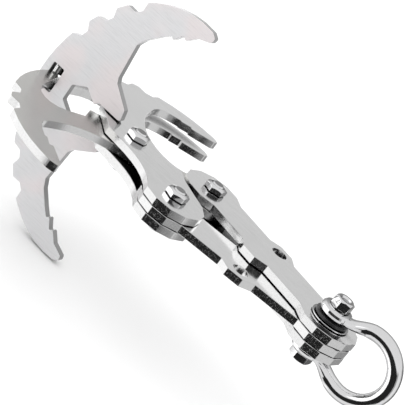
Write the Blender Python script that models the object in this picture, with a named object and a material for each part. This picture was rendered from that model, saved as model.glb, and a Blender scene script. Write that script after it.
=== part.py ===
"""Folding four-pronged grapnel anchor with a bow shackle.

Two jaws cross on a main pivot bolt.  The right jaw is a pair of plates, the left jaw is one plate
between them.  The jaws' tail ends are bolted to two long links, which meet on the shackle pin, so
jaws and links make a kite-shaped scissor.  A double-ended cross claw straddles the jaws at a right
angle and gives the other two prongs.

Frame: the origin is the centre of the whole anchor's box, on the shank's axis at mid height of the
plate stack.  +X runs along the shank towards the shackle, +Y towards the tip of the right jaw, and +Z
along the bolts towards their nuts.  Outlines are drawn from the main pivot, except the links'.
Lengths are written in millimetres and scaled by MM.
"""
import math

import bmesh
import bpy
from mathutils import Vector

MM = 0.001

# --- plate stack ------------------------------------------------------------------------------
PLATE = 3.2                      # thickness of every flat plate
LAYER_GAP = 0.3                  # running clearance between two neighbouring plates
LEVEL = PLATE + LAYER_GAP        # height of the outer plates' centre above the middle plate's
STACK_TOP = LEVEL + PLATE / 2    # height of the outermost plate face
REST_GAP = 0.3                   # space under a nut, a head or a washer

# --- scissor linkage --------------------------------------------------------------------------
ARM_LENGTH = 34.6                # main pivot to a jaw's tail joint
ARM_ANGLE = math.radians(26.1)   # between a tail arm and the shank's axis, hook spread
LINK_LENGTH = 69.0               # jaw's tail joint to the shackle pin
LINK_ANGLE = math.asin(ARM_LENGTH * math.sin(ARM_ANGLE) / LINK_LENGTH)
TAIL_X = ARM_LENGTH * math.cos(ARM_ANGLE)
TAIL_Y = ARM_LENGTH * math.sin(ARM_ANGLE)
PIN_X = TAIL_X + LINK_LENGTH * math.cos(LINK_ANGLE)

# --- joint ends and bores ---------------------------------------------------------------------
END_SIDES = 12                   # a joint end is a twelve-sided disc
END_RADIUS = 12.4                # centre to corner of that disc
ROUNDING = 0.9                   # radius on the corners of the jaws and the cross claw
BOLT_RADIUS = 2.5
BOLT_BORE = 2.75
PIN_RADIUS = 2.5
PIN_BORE = 2.75
OPEN_PIVOT_BORE = 4.1            # right link's bore on the shackle pin, wide so the scissor can work
ROUND_SIDES = 28                 # sides of a bore, shank or washer

# --- links ------------------------------------------------------------------------------------
LINK_BOSS_START = 26.5           # where the edge leaves the straight part
LINK_BOSS_FLAT = (30.5, 37.0)    # flat outer edge of the boss
LINK_BOSS_END = 41.5
LINK_BOSS_HALF = 12.3            # half width over the bosses
LINK_HOLE = (34.3, 6.8, 3.15)    # along, outwards, radius

# --- cross claw -------------------------------------------------------------------------------
HEX_CENTRE_X = -27.7
HEX_RADIUS = 7.0                 # centre to corner of the hexagonal opening
FORK_HALF = STACK_TOP + 0.35     # half height of the fork that straddles the jaws
SLOT_X = (-45.2, -39.7)
SLOT_HALF = 5.45
SLOT_ROUNDING = 0.6

# --- bolts, nuts and washers ------------------------------------------------------------------
NUT_FLATS = 8.0
NUT_HEIGHT = 2.6
NUT_CHAMFER = 0.8                # height of the cone that trims a nut's corners
NUT_TOP_RADIUS = 2.9
BOLT_HEAD_HEIGHT = 3.5
BOLT_END = 0.4                   # thread standing proud of the nut
BOLT_END_CHAMFER = 0.5
HEAD_CHAMFER = 0.7               # height of the cone that trims a head's corners
HEAD_TOP_STEP = 0.4              # the cone's end lies this far inside the flats
DIMPLE_DEPTH = 0.9
DIMPLE_WALL = (0.35, 0.7)        # inwards, depth
CUT_MARGIN = 0.5                 # a hexagon cutter reaches this far past the end it trims
SEAT_SKIN = 0.02                 # and this far past a seat
NUT_TURN = math.radians(41)      # how far each nut happens to be turned
RIGHT_TAIL_TURN = math.radians(33)
LEFT_TAIL_TURN = math.radians(31)

# --- shackle ----------------------------------------------------------------------------------
PIN_FLATS = 7.0
PIN_HEAD_HEIGHT = 3.7
PIN_NUT_HEIGHT = 3.4
PIN_DIMPLE = 2.2
PIN_TURN = math.radians(28)
PIN_NUT_TURN = math.radians(20)
STEEL_WASHER = (7.7, 0.45)       # radius, thickness
BLACK_WASHER = (6.8, 1.1)
EAR_RADIUS = 6.4
EAR_THICKNESS = 3.6
EAR_EDGE = 1.7                   # how far the ear's rounded rim reaches inwards
EAR_RIM_STEPS = 6
NECK_START = 4.9                 # where the bar grows out of the ear, clear of the pin's head
NECK_HALF_WIDTH = 3.6            # half width of the flattened bar there
NECK_REACH = (3.3, 4.0)          # how far the neck's curve runs straight at the ear and at the arc
NECK_STEPS = 6
NECK_SKIN = 0.1                  # the flattened bar stays this far inside the ear's faces
BOW_BAR_RADIUS = 2.9
BOW_RADIUS = 12.9                # of the bar's centre line
BOW_CENTRE = 18.0                # from the pin
BOW_OPENING = math.radians(106)  # the bow's arc runs from here to the same angle on the other side
BAR_SIDES = 16
BOW_STEPS = 26
BORE_REACH = 20.0                # half length of the cutter through both ears

# --- place of the main pivot ------------------------------------------------------------------
BACK_X = -48.6                   # back of the cross claw
FRONT_X = PIN_X + BOW_CENTRE + BOW_RADIUS + BOW_BAR_RADIUS
PIVOT_X = -(BACK_X + FRONT_X) / 2

# --- finishes: colour, roughness, metallic ----------------------------------------------------
BRUSHED = ((0.62, 0.62, 0.63), 0.28, 1.0)
BRUSHED_DARK = ((0.50, 0.50, 0.50), 0.30, 1.0)
SATIN = ((0.80, 0.78, 0.78), 0.35, 1.0)
POLISHED = ((0.78, 0.78, 0.80), 0.10, 1.0)
BLACK = ((0.02, 0.02, 0.022), 0.45, 0.0)


# --- outlines ---------------------------------------------------------------------------------
def circle(centre, radius, sides=ROUND_SIDES, phase=0.0):
    step = 2 * math.pi / sides
    return [
        (centre[0] + radius * math.cos(phase + i * step), centre[1] + radius * math.sin(phase + i * step))
        for i in range(sides)
    ]


def disc_corners(centre, first, last):
    """Corners of a joint end from the angle first, counter-clockwise to the angle last, in degrees."""
    step = 360 // END_SIDES
    return [
        (
            centre[0] + END_RADIUS * math.cos(math.radians(angle)),
            centre[1] + END_RADIUS * math.sin(math.radians(angle)),
        )
        for angle in range(first, last + 1, step)
    ]


def bezier(start, control_a, control_b, end, t):
    s = 1 - t
    weights = (s * s * s, 3 * s * s * t, 3 * s * t * t, t * t * t)
    points = (start, control_a, control_b, end)
    return tuple(sum(w * p[axis] for w, p in zip(weights, points)) for axis in (0, 1))


def curve(start, control_a, control_b, end, steps):
    """Points along a cubic curve, both ends included."""
    return [bezier(start, control_a, control_b, end, i / steps) for i in range(steps + 1)]


def notched_curve(start, control_a, control_b, end, steps, notches, depth):
    """A cubic curve with trapezoid notches cut to its right-hand side, as (middle, half width) in t."""
    def inset(t):
        here = Vector(bezier(start, control_a, control_b, end, t))
        ahead = Vector(bezier(start, control_a, control_b, end, t + 0.01))
        along = (ahead - here).normalized()
        return tuple(here + depth * Vector((along.y, -along.x)))

    def on_notch(t):
        return any(abs(t - middle) < half + 0.5 / steps for middle, half in notches)

    stations = [(i / steps, False) for i in range(steps + 1) if not on_notch(i / steps)]
    for middle, half in notches:
        stations += [(middle - half, False), (middle + half, False)]
        stations += [(middle - 0.4 * half, True), (middle + 0.4 * half, True)]
    return [
        inset(t) if is_floor else bezier(start, control_a, control_b, end, t)
        for t, is_floor in sorted(stations)
    ]


def eased(points, radius, steps=2):
    """Replaces each sharp corner with a short arc-like blend, no longer than a third of its edges."""
    result = []
    count = len(points)
    for i, point in enumerate(points):
        here = Vector(point)
        to_last = Vector(points[i - 1]) - here
        to_next = Vector(points[(i + 1) % count]) - here
        turn = math.pi - to_last.angle(to_next)
        if turn < math.radians(24):
            result.append(point)
            continue
        reach = min(radius * math.tan(turn / 2), to_last.length / 3, to_next.length / 3)
        first = here + to_last.normalized() * reach
        last = here + to_next.normalized() * reach
        for k in range(steps + 1):
            t = k / steps
            blend = first * (1 - t) ** 2 + here * 2 * t * (1 - t) + last * t ** 2
            result.append((blend.x, blend.y))
    return result


def mirrored(points):
    """The outline mirrored in the x axis, still counter-clockwise."""
    return [(x, -y) for x, y in reversed(points)]


def right_jaw_outline():
    """Claw towards +Y, tail arm towards -Y, counter-clockwise from the claw's tip."""
    tail = (TAIL_X, -TAIL_Y)
    back = notched_curve(
        (-45.0, 1.8), (-47.0, 26.0), (-28.0, 58.6), (3.4, 58.8), 16,
        notches=((0.455, 0.060), (0.612, 0.056)), depth=3.1,
    )
    tip = [(6.4, 57.6), (5.9, 55.2)]
    teeth = [(0.2, 51.2), (-3.4, 48.6), (-4.2, 50.2), (-8.0, 46.9), (-8.7, 47.6), (-12.6, 44.6)]
    mouth = curve((-15.4, 41.4), (-17.2, 38.4), (-15.8, 34.2), (-14.6, 30.0), 4)
    throat = curve((-14.6, 30.0), (-11.5, 17.0), (4.0, 0.0), (19.3, 7.0), 10)[1:]
    tail_inner = [(24.3, 2.2), (31.9, -1.9)]
    tail_end = disc_corners(tail, -125, 55)
    tail_outer = curve((24.0, -25.3), (14.0, -10.5), (3.0, -11.5), (-7.5, -10.2), 8)[1:]
    notch_round_axis = [(-14.5, -3.5), (-21.2, 2.6), (-17.9, 10.2), (-21.3, 18.1)]
    horn = curve((-21.3, 18.1), (-25.0, 26.5), (-33.5, 24.5), (-36.6, 16.0), 6)[1:]
    horn_tip = [(-40.1, 1.7), (-42.2, -1.1), (-43.7, -1.1)]
    clockwise = back + tip + teeth + mouth + throat + tail_inner
    clockwise += list(reversed(tail_end)) + tail_outer + notch_round_axis + horn + horn_tip
    return list(reversed(eased(clockwise, ROUNDING)))


def link_outline():
    """Along +X from the jaw's joint at the origin to the shackle pin, boss hole towards +Y."""
    near = disc_corners((0.0, 0.0), 45, 315)
    far = disc_corners((LINK_LENGTH, 0.0), -135, 135)
    straight = END_RADIUS * math.sin(math.radians(45))
    lower = [
        (LINK_BOSS_START, -straight),
        (LINK_BOSS_FLAT[0], -LINK_BOSS_HALF),
        (LINK_BOSS_FLAT[1], -LINK_BOSS_HALF),
        (LINK_BOSS_END, -straight),
    ]
    return near + lower + far + mirrored(lower)


def cross_claw_outline():
    """Both prongs, in the plane of the shank's axis (x) and the bolts' direction (y)."""
    hexagon = circle((HEX_CENTRE_X, 0.0), HEX_RADIUS, 6, math.pi / 6)
    opening = [hexagon[2], hexagon[1], hexagon[0]]
    fork = [(-20.6, FORK_HALF), (-9.0, FORK_HALF), (-10.1, 10.2)]
    neck = [(-18.6, 16.0), (-19.6, 18.2), (-20.9, 32.3), (-19.2, 35.8)]
    teeth = [(-14.6, 40.9), (-11.6, 43.9), (-10.3, 42.9), (-7.5, 47.0), (-6.1, 45.8)]
    tip = [(-2.6, 49.6), (2.6, 51.5), (3.0, 53.6)]
    back = notched_curve(
        (0.8, 55.0), (-29.0, 59.0), (-49.0, 26.0), (BACK_X, 0.0), 16,
        notches=((0.405, 0.052), (0.565, 0.050), (0.715, 0.050)), depth=-3.0,
    )[:-1]
    upper = opening + fork + neck + teeth + tip + back
    return eased(upper + [(BACK_X, 0.0)] + mirrored(upper), ROUNDING)


def slot_outline():
    left, right = SLOT_X
    corners = [(left, -SLOT_HALF), (right, -SLOT_HALF), (right, SLOT_HALF), (left, SLOT_HALF)]
    return eased(corners, SLOT_ROUNDING)


# --- meshes -----------------------------------------------------------------------------------
def finish_mesh(bm, name, smooth=False):
    bmesh.ops.recalc_face_normals(bm, faces=bm.faces)
    mesh = bpy.data.meshes.new(name)
    bm.to_mesh(mesh)
    bm.free()
    if smooth:
        mesh.shade_smooth()
        mesh.set_sharp_from_angle(angle=math.radians(35))
    return mesh


def prism(name, outline, holes, bottom, top):
    """A plate with through holes, extruded from bottom to top along Z."""
    bm = bmesh.new()
    edges = []
    for loop in [outline] + holes:
        verts = [bm.verts.new((x * MM, y * MM, bottom * MM)) for x, y in loop]
        for i, vert in enumerate(verts):
            edges.append(bm.edges.new((vert, verts[(i + 1) % len(verts)])))
    filled = bmesh.ops.triangle_fill(bm, use_beauty=True, use_dissolve=False, edges=edges)
    faces = [item for item in filled["geom"] if isinstance(item, bmesh.types.BMFace)]
    grown = bmesh.ops.extrude_face_region(bm, geom=faces)
    lifted = [item for item in grown["geom"] if isinstance(item, bmesh.types.BMVert)]
    bmesh.ops.translate(bm, verts=lifted, vec=(0, 0, (top - bottom) * MM))
    return finish_mesh(bm, name)


def turned(name, profile, sides=ROUND_SIDES):
    """A closed profile of (radius, height) points turned about Z; radius 0 closes it on the axis."""
    bm = bmesh.new()
    rings = []
    for radius, height in profile:
        if radius == 0:
            rings.append([bm.verts.new((0, 0, height * MM))])
        else:
            ring = circle((0, 0), radius, sides)
            rings.append([bm.verts.new((x * MM, y * MM, height * MM)) for x, y in ring])
    pairs = list(zip(rings, rings[1:] + rings[:1]))
    for ring, following in pairs:
        if len(ring) == 1 and len(following) == 1:
            continue
        for i in range(sides):
            j = (i + 1) % sides
            corners = [ring[i % len(ring)], ring[j % len(ring)]]
            corners += [following[j % len(following)], following[i % len(following)]]
            bm.faces.new(list(dict.fromkeys(corners)))
    return finish_mesh(bm, name, smooth=True)


def swept_bar(name, path, radii):
    """A round bar along a path in the XZ plane, its radius given as (in plane, out of plane) pairs."""
    bm = bmesh.new()
    rings = []
    for i, (x, z) in enumerate(path):
        before = Vector(path[max(i - 1, 0)])
        after = Vector(path[min(i + 1, len(path) - 1)])
        along = (after - before).normalized()
        side = Vector((-along.y, along.x))
        in_plane, out_of_plane = radii[i]
        ring = []
        for k in range(BAR_SIDES):
            angle = 2 * math.pi * k / BAR_SIDES
            offset = side * in_plane * math.cos(angle)
            ring.append(bm.verts.new((
                (x + offset.x) * MM, out_of_plane * math.sin(angle) * MM, (z + offset.y) * MM,
            )))
        rings.append(ring)
    for ring, following in zip(rings, rings[1:]):
        for k in range(BAR_SIDES):
            j = (k + 1) % BAR_SIDES
            bm.faces.new((ring[k], ring[j], following[j], following[k]))
    bm.faces.new(rings[0])
    bm.faces.new(rings[-1])
    return finish_mesh(bm, name, smooth=True)


# --- objects ----------------------------------------------------------------------------------
def material(name, finish):
    colour, roughness, metallic = finish
    made = bpy.data.materials.new(name + "_finish")
    made.use_nodes = True
    shader = made.node_tree.nodes["Principled BSDF"]
    shader.inputs["Base Color"].default_value = (*colour, 1.0)
    shader.inputs["Roughness"].default_value = roughness
    shader.inputs["Metallic"].default_value = metallic
    made.diffuse_color = (*colour, 1.0)
    return made


def empty(name, location, angle=0.0, parent=None):
    """A joint axis, along Z."""
    made = bpy.data.objects.new(name, None)
    made.parent = parent
    made.location = [value * MM for value in location]
    made.rotation_euler.z = angle
    bpy.context.collection.objects.link(made)
    return made


def piece(name, mesh, finish, parent, height=0.0):
    made = bpy.data.objects.new(name, mesh)
    mesh.materials.append(material(name, finish))
    made.parent = parent
    made.location.z = height * MM
    bpy.context.collection.objects.link(made)
    return made


def cutter(name, mesh, parent, height=0.0):
    made = bpy.data.objects.new(name, mesh)
    made.parent = parent
    made.location.z = height * MM
    made.hide_render = True
    made.display_type = "WIRE"
    bpy.context.collection.objects.link(made)
    return made


def combine(target, tool, operation):
    modifier = target.modifiers.new(tool.name, "BOOLEAN")
    modifier.object = tool
    modifier.operation = operation


def cut_hexagon(target, parent, flats, bottom, top, turn=0.0):
    """Trims the round collar between two heights to a hexagon."""
    corner = flats / math.sqrt(3)
    ring = prism(target.name + "_hex_cutter", circle((0, 0), corner + 4.0, 24),
                 [circle((0, 0), corner, 6, turn)], bottom, top)
    combine(target, cutter(target.name + "_hex_cutter", ring, parent), "DIFFERENCE")


def hex_nut(name, parent, bore, height, seat, turn, up=1):
    """A nut on its seat, with its chamfered side away from the seat, upwards (1) or downwards (-1)."""
    corner = NUT_FLATS / math.sqrt(3)
    top = seat + up * height
    profile = [(bore, seat), (corner, seat), (corner, top - up * NUT_CHAMFER)]
    profile += [(NUT_TOP_RADIUS, top), (bore, top)]
    made = piece(name, turned(name, profile), POLISHED, parent)
    low, high = sorted((seat - up * CUT_MARGIN, top + up * CUT_MARGIN))
    cut_hexagon(made, parent, NUT_FLATS, low, high, turn)


def hex_bolt(name, parent, radius, flats, head_seat, head_height, end, turn, dimple=0.0):
    """A bolt along Z from its head's seat to its chamfered end; the head lies beyond the seat."""
    way = 1 if end > head_seat else -1
    corner = flats / math.sqrt(3)
    head_top = head_seat - way * head_height
    profile = [(0, end), (radius - BOLT_END_CHAMFER, end), (radius, end - way * BOLT_END_CHAMFER)]
    profile += [(radius, head_seat), (corner, head_seat), (corner, head_top + way * HEAD_CHAMFER)]
    profile += [(flats / 2 - HEAD_TOP_STEP, head_top)]
    if dimple:
        inwards, depth = DIMPLE_WALL
        profile += [(dimple, head_top), (dimple - inwards, head_top + way * depth)]
        profile += [(0, head_top + way * DIMPLE_DEPTH)]
    else:
        profile += [(0, head_top)]
    made = piece(name, turned(name, profile), POLISHED, parent)
    low, high = sorted((head_seat - way * SEAT_SKIN, head_top - way * CUT_MARGIN))
    cut_hexagon(made, parent, flats, low, high, turn)


def washer(name, parent, radius, bore, thickness, bottom, finish=POLISHED):
    profile = [(bore, bottom), (radius, bottom), (radius, bottom + thickness), (bore, bottom + thickness)]
    return piece(name, turned(name, profile), finish, parent)


def joint_hardware(prefix, parent, turn):
    """The bolt through the three plates of one joint, and its nut on top."""
    seat = STACK_TOP + REST_GAP
    bolt_end = seat + NUT_HEIGHT + BOLT_END
    hex_bolt(prefix + "_bolt", parent, BOLT_RADIUS, NUT_FLATS, -seat, BOLT_HEAD_HEIGHT, bolt_end, turn)
    hex_nut(prefix + "_nut", parent, BOLT_BORE, NUT_HEIGHT, seat, turn)


def plate(name, outline, holes, level, parent, finish):
    mesh = prism(name, outline, holes, -PLATE / 2, PLATE / 2)
    return piece(name, mesh, finish, parent, level)


# --- assembly ---------------------------------------------------------------------------------
def build_jaws(right_axis, left_axis):
    outline = right_jaw_outline()
    pivot_bore = circle((0, 0), BOLT_BORE)
    right_holes = [pivot_bore, circle((TAIL_X, -TAIL_Y), BOLT_BORE)]
    left_holes = [pivot_bore, circle((TAIL_X, TAIL_Y), BOLT_BORE)]
    plate("right_jaw_top_plate", outline, right_holes, LEVEL, right_axis, BRUSHED)
    plate("right_jaw_bottom_plate", outline, right_holes, -LEVEL, right_axis, BRUSHED)
    plate("left_jaw_plate", mirrored(outline), left_holes, 0.0, left_axis, BRUSHED_DARK)


def build_links(left_link_axis, right_link_axis):
    outline = link_outline()
    along, outwards, radius = LINK_HOLE
    jaw_bore = circle((0, 0), BOLT_BORE)
    right_holes = [jaw_bore, circle((LINK_LENGTH, 0), OPEN_PIVOT_BORE), circle((along, outwards), radius)]
    left_holes = [jaw_bore, circle((LINK_LENGTH, 0), PIN_BORE), circle((along, -outwards), radius)]
    plate("right_link_top_plate", outline, right_holes, LEVEL, right_link_axis, BRUSHED)
    plate("right_link_bottom_plate", outline, right_holes, -LEVEL, right_link_axis, BRUSHED)
    plate("left_link_plate", mirrored(outline), left_holes, 0.0, left_link_axis, BRUSHED)


def build_cross_claw(main_pivot):
    mesh = prism("cross_claw", cross_claw_outline(), [slot_outline()], -PLATE / 2, PLATE / 2)
    claw = piece("cross_claw", mesh, SATIN, main_pivot)
    claw.rotation_euler.x = math.pi / 2


def bow_path(ear_rise, middle):
    """Centre line of the bow from the upper ear round to the lower one, and the bar's radii."""
    arc = []
    for i in range(BOW_STEPS + 1):
        angle = BOW_OPENING * (1 - 2 * i / BOW_STEPS)
        arc.append((BOW_CENTRE + BOW_RADIUS * math.cos(angle), BOW_RADIUS * math.sin(angle)))
    at_ear, at_arc = NECK_REACH
    before_arc = (
        arc[0][0] - at_arc * math.sin(BOW_OPENING),
        arc[0][1] + at_arc * math.cos(BOW_OPENING),
    )
    neck = curve((NECK_START, ear_rise), (NECK_START + at_ear, ear_rise), before_arc, arc[0], NECK_STEPS)[:-1]
    path = neck + arc + mirrored(neck)
    flat = EAR_THICKNESS / 2 - NECK_SKIN
    radii = []
    for i in range(len(path)):
        grown = min(1.0, min(i, len(path) - 1 - i) / len(neck))
        in_plane = flat + grown * (BOW_BAR_RADIUS - flat)
        out_of_plane = NECK_HALF_WIDTH + grown * (BOW_BAR_RADIUS - NECK_HALF_WIDTH)
        radii.append((in_plane, out_of_plane))
    return [(x, z + middle) for x, z in path], radii


def ear(name, height):
    """A flat disc with a rounded rim."""
    half = EAR_THICKNESS / 2
    rim = []
    for i in range(EAR_RIM_STEPS + 1):
        angle = math.pi * (i / EAR_RIM_STEPS - 0.5)
        rim.append((EAR_RADIUS - EAR_EDGE + EAR_EDGE * math.cos(angle), height + half * math.sin(angle)))
    return turned(name, [(0, height - half)] + rim + [(0, height + half)])


def build_shackle(axis):
    """Upwards from the plates: steel washer, black washer, ear, pin's head; downwards: washer, ear, nut."""
    steel_radius, steel = STEEL_WASHER
    black_radius, black = BLACK_WASHER
    seat = STACK_TOP + REST_GAP
    black_seat = seat + steel + REST_GAP
    upper_ear = black_seat + black + REST_GAP + EAR_THICKNESS / 2
    lower_ear = -(seat + steel + REST_GAP + EAR_THICKNESS / 2)
    head_seat = upper_ear + EAR_THICKNESS / 2 + REST_GAP
    nut_seat = lower_ear - EAR_THICKNESS / 2 - REST_GAP

    path, radii = bow_path((upper_ear - lower_ear) / 2, (upper_ear + lower_ear) / 2)
    bow = piece("shackle_bow", swept_bar("shackle_bow", path, radii), POLISHED, axis)
    for side, height in (("upper", upper_ear), ("lower", lower_ear)):
        combine(bow, cutter("shackle_ear_" + side, ear("shackle_ear_" + side, height), axis), "UNION")
    bore_profile = [(0, -BORE_REACH), (PIN_BORE, -BORE_REACH), (PIN_BORE, BORE_REACH), (0, BORE_REACH)]
    combine(bow, cutter("shackle_ear_bore", turned("shackle_ear_bore", bore_profile), axis), "DIFFERENCE")

    pin_end = nut_seat - PIN_NUT_HEIGHT - BOLT_END
    hex_bolt("shackle_pin", axis, PIN_RADIUS, PIN_FLATS, head_seat, PIN_HEAD_HEIGHT, pin_end,
             PIN_TURN, PIN_DIMPLE)
    hex_nut("shackle_nut", axis, PIN_BORE, PIN_NUT_HEIGHT, nut_seat, PIN_NUT_TURN, up=-1)
    washer("shackle_steel_washer_upper", axis, steel_radius, PIN_BORE, steel, seat)
    washer("shackle_steel_washer_lower", axis, steel_radius, PIN_BORE, steel, -seat - steel)
    washer("shackle_black_washer", axis, black_radius, PIN_BORE, black, black_seat, BLACK)


def build():
    for obj in list(bpy.data.objects):
        bpy.data.objects.remove(obj, do_unlink=True)

    main_pivot = empty("main_pivot_axis", (PIVOT_X, 0, 0))
    right_jaw = empty("right_jaw_axis", (0, 0, 0), parent=main_pivot)
    left_jaw = empty("left_jaw_axis", (0, 0, 0), parent=main_pivot)
    left_link = empty("left_link_axis", (TAIL_X, -TAIL_Y, 0), LINK_ANGLE, right_jaw)
    right_link = empty("right_link_axis", (TAIL_X, TAIL_Y, 0), -LINK_ANGLE, left_jaw)
    right_tail = empty("right_jaw_tail", (TAIL_X, -TAIL_Y, 0), parent=right_jaw)
    shackle = empty("shackle_axis", (LINK_LENGTH, 0, 0), -LINK_ANGLE, left_link)

    build_jaws(right_jaw, left_jaw)
    build_links(left_link, right_link)
    build_cross_claw(main_pivot)
    joint_hardware("main_pivot", main_pivot, NUT_TURN)
    joint_hardware("right_jaw_tail", right_tail, RIGHT_TAIL_TURN)
    joint_hardware("left_jaw_tail", right_link, LINK_ANGLE + LEFT_TAIL_TURN)
    build_shackle(shackle)


build()
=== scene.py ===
"""Looks of the folding grapnel anchor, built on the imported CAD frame."""

import math

import bmesh
import bpy
from mathutils import Matrix, Vector


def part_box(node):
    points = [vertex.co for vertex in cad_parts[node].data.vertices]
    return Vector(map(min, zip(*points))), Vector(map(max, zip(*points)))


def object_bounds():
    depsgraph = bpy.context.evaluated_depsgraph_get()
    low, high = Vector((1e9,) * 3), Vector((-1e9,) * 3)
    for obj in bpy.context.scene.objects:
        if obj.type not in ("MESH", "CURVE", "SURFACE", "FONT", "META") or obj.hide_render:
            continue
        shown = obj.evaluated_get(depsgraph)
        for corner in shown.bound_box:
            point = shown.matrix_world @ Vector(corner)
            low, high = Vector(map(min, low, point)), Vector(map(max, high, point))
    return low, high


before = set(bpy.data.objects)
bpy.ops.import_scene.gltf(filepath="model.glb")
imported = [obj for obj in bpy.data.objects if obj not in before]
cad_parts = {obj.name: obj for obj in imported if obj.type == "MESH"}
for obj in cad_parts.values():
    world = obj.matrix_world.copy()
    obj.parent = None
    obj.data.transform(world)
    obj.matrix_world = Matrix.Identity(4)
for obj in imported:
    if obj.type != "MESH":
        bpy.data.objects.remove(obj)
cad_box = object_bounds()

MM = 0.001
DOME_LEVEL = 0.93                # brightness of the studio dome in reflections
AMBIENT = 1.2                    # brightness of the dome on matte surfaces
SECOND_BOUNCE_GAIN = 1.55        # makes up for the light that a plate's face takes on the way
SMOOTH_ANGLE = math.radians(25)  # between the steps of a turned face and those of a softened edge
BEVEL_ANGLE = math.radians(55)   # only edges sharper than this are softened
FLAT_ANGLE = math.radians(1)     # triangles flatter than this to each other become one face
WELD_REACH = 0.005 * MM
PLATE_EDGE = 0.16 * MM           # width of the softened edge on plates
HARDWARE_EDGE = 0.12 * MM        # and on bolts, nuts, washers and the bow

BRUSH_SCALE = 2600.0             # brush lines and the grain left by cutting, per metre
CUT_SCALE = 2200.0               # marks that run across the thickness on the edges
NICK_SCALE = 3200.0              # small dull nicks on the edges
CLOUD_SCALE = 45.0               # slow change of tone over a face
PAINTED_SHADE_GREY = 0.01                    # grey of the shade painted into gaps and hollows
PAINTED_RIM_GREY = 0.03                       # grey of the dark reflection painted at the rims of polished parts

FLOOR_HALF = 4.0
FLOOR_DROP = 0.5 * MM            # the floor lies this far under the lowest point
LINK_TILT = math.radians(12.74)  # how far each link leans from the shank's axis at rest


# --- places taken from the frame ----------------------------------------------------------------
def node_centre(name):
    low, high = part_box(name)
    return (low + high) / 2


PIVOT = node_centre("main_pivot_bolt")


# --- node helpers -------------------------------------------------------------------------------
class Tree:
    """Adds shader nodes to one node tree in short calls."""

    def __init__(self, tree):
        self.tree = tree

    def node(self, kind, **settings):
        made = self.tree.nodes.new(kind)
        for key, value in settings.items():
            setattr(made, key, value)
        return made

    def feed(self, socket, value):
        if isinstance(value, bpy.types.NodeSocket):
            self.tree.links.new(value, socket)
        elif value is not None:
            socket.default_value = value

    def math(self, operation, a, b=None, c=None, clamp=False):
        made = self.node("ShaderNodeMath", operation=operation, use_clamp=clamp)
        for socket, value in zip(made.inputs, (a, b, c)):
            self.feed(socket, value)
        return made.outputs[0]

    def smooth(self, value, low, high, start=0.0, end=1.0):
        """Eases from start to end as value runs from low to high."""
        made = self.node("ShaderNodeMapRange", interpolation_type="SMOOTHSTEP")
        for socket, item in zip(made.inputs, (value, low, high, start, end)):
            self.feed(socket, item)
        return made.outputs[0]

    def mix(self, factor, a, b):
        made = self.node("ShaderNodeMix", data_type="RGBA")
        self.feed(made.inputs[0], factor)
        self.feed(made.inputs[6], a)
        self.feed(made.inputs[7], b)
        return made.outputs[2]

    def noise(self, vector, scale, detail=3.0, roughness=0.5):
        made = self.node("ShaderNodeTexNoise")
        self.feed(made.inputs["Vector"], vector)
        made.inputs["Scale"].default_value = scale
        made.inputs["Detail"].default_value = detail
        made.inputs["Roughness"].default_value = roughness
        return made.outputs["Fac"]

    def stretched(self, vector, stretch, turn=0.0):
        made = self.node("ShaderNodeMapping")
        self.feed(made.inputs["Vector"], vector)
        made.inputs["Rotation"].default_value = (0.0, 0.0, turn)
        made.inputs["Scale"].default_value = stretch
        return made.outputs["Vector"]

    def bump(self, height, strength, distance, normal=None):
        made = self.node("ShaderNodeBump")
        made.inputs["Strength"].default_value = strength
        made.inputs["Distance"].default_value = distance
        self.feed(made.inputs["Height"], height)
        if normal is not None:
            self.feed(made.inputs["Normal"], normal)
        return made.outputs["Normal"]


def grey(level):
    return (level, level, level, 1.0)


def new_material(name):
    made = bpy.data.materials.new(name)
    made.use_nodes = True
    shader = made.node_tree.nodes["Principled BSDF"]
    return made, Tree(made.node_tree), shader


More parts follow.
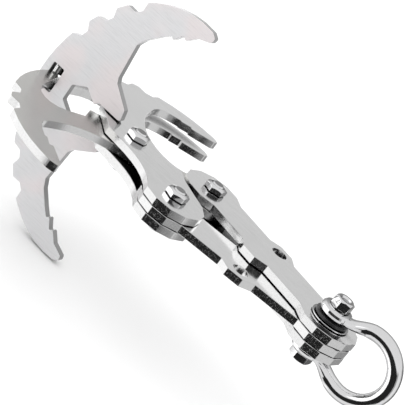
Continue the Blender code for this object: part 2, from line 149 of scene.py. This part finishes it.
# --- materials ----------------------------------------------------------------------------------
def plate_steel(name, tint, flat_axis, brush_turn, face_roughness=0.10, metallic=1.0,
                edge_tint=None, blush=None):
    """Rolled sheet: fine brush lines on the flat faces, cut marks across the thickness on the edges, and
    shade painted into gaps and hollows.

    flat_axis is the axis across the sheet, blush a second tint that clouds the faces.
    """
    made, t, shader = new_material(name)
    coords = t.node("ShaderNodeTexCoord")
    place = coords.outputs["Object"]
    split = t.node("ShaderNodeSeparateXYZ")
    t.feed(split.inputs[0], coords.outputs["Normal"])
    facing = t.math("ABSOLUTE", split.outputs[flat_axis])
    on_edge = t.smooth(facing, 0.75, 0.35)

    brush = t.noise(t.stretched(place, (0.05, 1.0, 1.0), brush_turn), BRUSH_SCALE, 5.0, 0.7)
    clouds = t.noise(place, CLOUD_SCALE, 2.0)
    across = [1.0, 1.0, 1.0]
    across[flat_axis] = 0.08
    nick_stretch = [1.0, 1.0, 1.0]
    nick_stretch[flat_axis] = 0.35
    cut_marks = t.noise(t.stretched(place, across), CUT_SCALE, 3.0, 0.7)
    chatter = t.noise(place, BRUSH_SCALE, 2.0)

    bright = t.math("MULTIPLY_ADD", t.smooth(brush, 0.30, 0.70), 0.18, 0.90)
    bright = t.math("MULTIPLY", bright, t.math("MULTIPLY_ADD", clouds, 0.10, 0.95))
    face_tint = (*tint, 1.0)
    if blush:
        face_tint = t.mix(t.smooth(clouds, 0.42, 0.62), face_tint, (*blush, 1.0))
    face_colour = t.mix(bright, grey(0.0), face_tint)
    marked = t.math("MULTIPLY_ADD", chatter, 0.16, 0.90)
    edge_colour = t.mix(marked, grey(0.0), (*(edge_tint or tint), 1.0))
    colour = t.mix(on_edge, face_colour, edge_colour)
    # painted shade: ambient occlusion turns the colour near-black in narrow gaps and deep hollows
    narrow = crevice_shade_mask(t, 3 * MM, 0.42, 0.16)
    wide = crevice_shade_mask(t, 10 * MM, 0.46, 0.20)
    painted_crevice_shade = t.math("MAXIMUM", narrow, wide)
    t.feed(shader.inputs["Base Color"], t.mix(painted_crevice_shade, colour, grey(PAINTED_SHADE_GREY)))

    rough_face = t.math("MULTIPLY_ADD", brush, 0.08, face_roughness)
    rough_edge = t.math("MULTIPLY_ADD", cut_marks, 0.10, 0.12)
    rough = t.math("ADD", t.math("MULTIPLY", rough_edge, on_edge),
                   t.math("MULTIPLY", rough_face, t.math("SUBTRACT", 1.0, on_edge)))
    t.feed(shader.inputs["Roughness"], rough)
    nick_noise = t.noise(t.stretched(place, nick_stretch), NICK_SCALE, 2.0, 0.6)
    nicks = t.smooth(nick_noise, 0.54, 0.70)
    dulled = t.math("MULTIPLY", t.math("MULTIPLY", nicks, on_edge), 0.22)
    t.feed(shader.inputs["Metallic"], t.math("MULTIPLY", t.math("SUBTRACT", 1.0, dulled), metallic))

    face_normal = t.bump(brush, 0.05, 0.00003)
    edge_height = t.math("MULTIPLY", t.math("ADD", cut_marks, chatter), on_edge)
    t.feed(shader.inputs["Normal"], t.bump(edge_height, 0.22, 0.00006, face_normal))
    return made


def crevice_shade_mask(t, reach, open_above, closed_below):
    """Mask of painted shade from ambient occlusion: 1 deep in a gap or a hollow, 0 on open faces; surfaces
    further off than reach don't count.
    """
    shade = t.node("ShaderNodeAmbientOcclusion", samples=8)
    shade.inputs["Distance"].default_value = reach
    return t.smooth(shade.outputs["AO"], open_above, closed_below)


def painted_rim_shade(t, colour, strength):
    """Paints a dark reflection into a bright colour where the surface turns away from the eye, standing in
    for the dark rims of polished steel.
    """
    away = t.node("ShaderNodeLayerWeight")
    away.inputs["Blend"].default_value = 0.5
    return t.mix(t.smooth(away.outputs["Facing"], 0.35, 0.74, 0.0, strength), colour, grey(PAINTED_RIM_GREY))


def polished_steel(name):
    """Bright hardware: a mirror polish with faint turning marks and a little haze, a painted dark
    reflection at the rims and painted shade in gaps.
    """
    level = 0.78
    made, t, shader = new_material(name)
    place = t.node("ShaderNodeTexCoord").outputs["Object"]
    haze = t.noise(place, 260.0, 3.0)
    turning = t.noise(t.stretched(place, (0.12, 0.12, 1.0)), 3800.0, 2.0)
    tone = t.math("MULTIPLY_ADD", haze, 0.08, 0.95)
    # painted reflection: the colour turns dark grey towards the silhouette
    colour = painted_rim_shade(t, t.mix(tone, grey(0.0), (level, level, level * 1.01, 1.0)), 0.96)
    # painted shade in the tight gaps around nuts, bolts and washers
    t.feed(shader.inputs["Base Color"], t.mix(crevice_shade_mask(t, MM, 0.55, 0.20), colour, grey(PAINTED_SHADE_GREY)))
    t.feed(shader.inputs["Roughness"], t.math("MULTIPLY_ADD", haze, 0.08, 0.06))
    t.feed(shader.inputs["Normal"], t.bump(turning, 0.04, 0.00002))
    shader.inputs["Metallic"].default_value = 1.0
    return made


def black_nylon(name):
    """Moulded washer: near-black, with a fine grain and slightly greyer rubbed patches."""
    made, t, shader = new_material(name)
    place = t.node("ShaderNodeTexCoord").outputs["Object"]
    grain = t.noise(place, 2400.0, 3.0)
    worn = t.smooth(t.noise(place, 420.0, 4.0), 0.52, 0.75)
    fresh_colour = (0.012, 0.012, 0.013, 1.0)
    worn_colour = (0.045, 0.045, 0.048, 1.0)
    t.feed(shader.inputs["Base Color"], t.mix(worn, fresh_colour, worn_colour))
    t.feed(shader.inputs["Roughness"], t.math("MULTIPLY_ADD", grain, 0.2, 0.30))
    t.feed(shader.inputs["Normal"], t.bump(grain, 0.2, 0.00003))
    return made


def paint(obj, made):
    obj.data.materials.clear()
    obj.data.materials.append(made)


# --- modifiers on the CAD nodes -----------------------------------------------------------------
def smooth_by_angle_group():
    """Shades smooth across edges flatter than SMOOTH_ANGLE, and sharp elsewhere."""
    group = bpy.data.node_groups.new("smooth_by_angle", "GeometryNodeTree")
    group.interface.new_socket("Geometry", in_out="INPUT", socket_type="NodeSocketGeometry")
    group.interface.new_socket("Geometry", in_out="OUTPUT", socket_type="NodeSocketGeometry")
    nodes, links = group.nodes, group.links
    start = nodes.new("NodeGroupInput")
    end = nodes.new("NodeGroupOutput")
    faces = nodes.new("GeometryNodeSetShadeSmooth")
    faces.domain = "FACE"
    edges = nodes.new("GeometryNodeSetShadeSmooth")
    edges.domain = "EDGE"
    angle = nodes.new("GeometryNodeInputMeshEdgeAngle")
    flat = nodes.new("FunctionNodeCompare")
    flat.operation = "LESS_EQUAL"
    flat.inputs[1].default_value = SMOOTH_ANGLE
    links.new(angle.outputs["Unsigned Angle"], flat.inputs[0])
    links.new(start.outputs[0], faces.inputs["Geometry"])
    links.new(faces.outputs[0], edges.inputs["Geometry"])
    links.new(flat.outputs[0], edges.inputs["Shade Smooth"])
    links.new(edges.outputs[0], end.inputs[0])
    return group


def soften(obj, width, group):
    """Breaks the sharp edges with a narrow chamfer and leaves the faces flat."""
    weld = obj.modifiers.new("weld", "WELD")
    weld.merge_threshold = WELD_REACH
    flatten = obj.modifiers.new("flatten", "DECIMATE")
    flatten.decimate_type = "DISSOLVE"
    flatten.angle_limit = FLAT_ANGLE
    bevel = obj.modifiers.new("edge", "BEVEL")
    bevel.width = width
    bevel.segments = 1
    bevel.limit_method = "ANGLE"
    bevel.angle_limit = BEVEL_ANGLE
    bevel.harden_normals = False
    bevel.use_clamp_overlap = False
    shade = obj.modifiers.new("shade", "NODES")
    shade.node_group = group


# --- stage --------------------------------------------------------------------------------------
def floor():
    """A pale sheet just under the object, left out of reflections."""
    low, _ = cad_box
    mesh = bpy.data.meshes.new("floor")
    bm = bmesh.new()
    bmesh.ops.create_grid(bm, x_segments=1, y_segments=1, size=FLOOR_HALF)
    bm.to_mesh(mesh)
    bm.free()
    made = bpy.data.objects.new("floor", mesh)
    made.location = (0.0, 0.0, low[2] - FLOOR_DROP)
    bpy.context.collection.objects.link(made)
    material, t, shader = new_material("pale_floor")
    t.feed(shader.inputs["Base Color"], grey(0.93))
    t.feed(shader.inputs["Roughness"], 0.9)
    paint(made, material)
    made.visible_glossy = False


def studio_world():
    """White to the camera; in reflections, bright soft boxes with dark flags between them."""
    world = bpy.data.worlds.new("studio")
    world.use_nodes = True
    bpy.context.scene.world = world
    t = Tree(world.node_tree)
    background = world.node_tree.nodes["Background"]
    split = t.node("ShaderNodeSeparateXYZ")
    t.feed(split.inputs[0], t.node("ShaderNodeTexCoord").outputs["Generated"])
    x, y, z = split.outputs
    path = t.node("ShaderNodeLightPath")
    # A ray that has bounced twice off the object is folded below the horizon, so that a wall standing
    # on a plate shows what it would show without the plate.
    twice = t.math("GREATER_THAN", path.outputs["Glossy Depth"], 1.5)
    above = t.math("ADD", t.math("ABSOLUTE", z), z)
    z = t.math("SUBTRACT", z, t.math("MULTIPLY", above, twice))
    bearing = t.math("MULTIPLY", t.math("ARCTAN2", x, t.math("MULTIPLY", y, -1.0)), 180.0 / math.pi)

    def zone(bearing_range, height_range, fade=6.0):
        """1 inside a patch of the dome, given by its bearings from -Y towards +X and its heights."""
        patch = None
        for value, (low, high), soft in ((bearing, bearing_range, fade), (z, height_range, 0.08)):
            away = t.math("ABSOLUTE", t.math("SUBTRACT", value, (low + high) / 2))
            half = (high - low) / 2
            inside = t.smooth(away, half + soft, half)
            patch = inside if patch is None else t.math("MULTIPLY", patch, inside)
        return patch

    level = t.smooth(z, -0.2, 0.9, DOME_LEVEL, DOME_LEVEL * 0.92)
    for patch, gain in (
        (zone((-90.0, -34.0), (-0.9, 0.50)), 1.7),
        (zone((-179.0, -95.0), (-0.9, 0.1)), 1.6),
        (zone((-27.0, 53.0), (-0.62, 0.15), 3.0), 0.02),
        (zone((56.0, 67.0), (-0.5, 0.25)), 0.42),
        (zone((120.0, 150.0), (-0.5, 0.30)), 0.45),
    ):
        level = t.math("MULTIPLY", level, t.math("MULTIPLY_ADD", patch, gain - 1.0, 1.0))

    level = t.math("MULTIPLY", level, t.math("MULTIPLY_ADD", twice, SECOND_BOUNCE_GAIN - 1.0, 1.0))
    seen = t.mix(path.outputs["Is Glossy Ray"], grey(AMBIENT), level)
    seen = t.mix(path.outputs["Is Camera Ray"], seen, grey(1.0))
    t.feed(background.inputs["Color"], seen)
    t.feed(background.inputs["Strength"], 1.0)


def soft_light(name, location, target, size, power):
    """A round area light that makes soft shadows and stays out of reflections."""
    lamp = bpy.data.lights.new(name, "AREA")
    lamp.shape = "DISK"
    lamp.size = size
    lamp.energy = power
    made = bpy.data.objects.new(name, lamp)
    made.location = location
    made.rotation_euler = (Vector(target) - Vector(location)).to_track_quat("-Z", "Y").to_euler()
    made.visible_glossy = False
    bpy.context.collection.objects.link(made)


def camera():
    """Stands in front on the shackle side, rolled so that the shank runs down to the right."""
    azimuth, elevation, roll = math.radians(18.24), math.radians(20.69), math.radians(36.78)
    from_pivot = Vector((175.0, -424.1, 173.1)) * MM
    lens, sensor = 117.1, 36.0
    sight = Vector((
        -math.sin(azimuth) * math.cos(elevation),
        math.cos(azimuth) * math.cos(elevation),
        -math.sin(elevation),
    ))
    level_right = Vector((math.cos(azimuth), math.sin(azimuth), 0.0))
    level_up = level_right.cross(sight)
    right = level_right * math.cos(roll) + level_up * math.sin(roll)
    up = level_up * math.cos(roll) - level_right * math.sin(roll)
    data = bpy.data.cameras.new("camera")
    data.lens = lens
    data.sensor_width = sensor
    data.clip_start = 0.01
    made = bpy.data.objects.new("camera", data)
    place = PIVOT.to_2d().to_3d() + from_pivot
    turned = Matrix((right, up, -sight)).transposed().to_4x4()
    made.matrix_world = Matrix.Translation(place) @ turned
    bpy.context.collection.objects.link(made)
    bpy.context.scene.camera = made


# --- the object ---------------------------------------------------------------------------------
def node_materials():
    """The material of each kind of node. Sheets lie across axis 2 (Z), the cross claw across axis 1 (Y)."""
    plain = (0.60, 0.60, 0.60)
    return {
        "brushed": plate_steel("brushed_plate", plain, 2, 0.0),
        "right_link": plate_steel("brushed_right_link", plain, 2, -LINK_TILT),
        # The left link's grey is a touch lighter than the right link's: painted light on a copy of the same
        # brushed steel.
        "left_link": plate_steel("brushed_left_link", (0.62, 0.62, 0.62), 2, LINK_TILT),
        # The left jaw's plate gets a darker grey than the other plates although it faces the same way:
        # painted shade for its place in the stack.
        "dark": plate_steel(
            "dark_plate", (0.50, 0.495, 0.48), 2, math.radians(25), face_roughness=0.20, edge_tint=plain,
        ),
        # The satin cross claw's dark edge grey (0.26) is painted shade for the dark reflections on its cut
        # edges.
        "satin": plate_steel(
            "satin_plate", (0.66, 0.66, 0.67), 1, 0.0, face_roughness=0.42, metallic=0.15,
            edge_tint=(0.26, 0.26, 0.26), blush=(0.70, 0.655, 0.66),
        ),
        "bright": polished_steel("polished_steel"),
        "black": black_nylon("black_washer"),
    }


def material_kind(name):
    if name == "cross_claw":
        return "satin"
    if name == "left_jaw_plate":
        return "dark"
    if name.startswith("right_link"):
        return "right_link"
    if name.startswith("left_link"):
        return "left_link"
    if name.endswith("_plate"):
        return "brushed"
    if "black" in name:
        return "black"
    return "bright"


def finish_nodes():
    group = smooth_by_angle_group()
    materials = node_materials()
    for name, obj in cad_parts.items():
        paint(obj, materials[material_kind(name)])
        is_plate = name.endswith("_plate") or name == "cross_claw"
        soften(obj, PLATE_EDGE if is_plate else HARDWARE_EDGE, group)


bpy.context.scene.view_settings.view_transform = "Standard"
finish_nodes()
floor()
studio_world()
soft_light("key", (-0.5, -0.5, 1.1), (0.03, 0.0, 0.0), 0.9, 3.0)
camera()
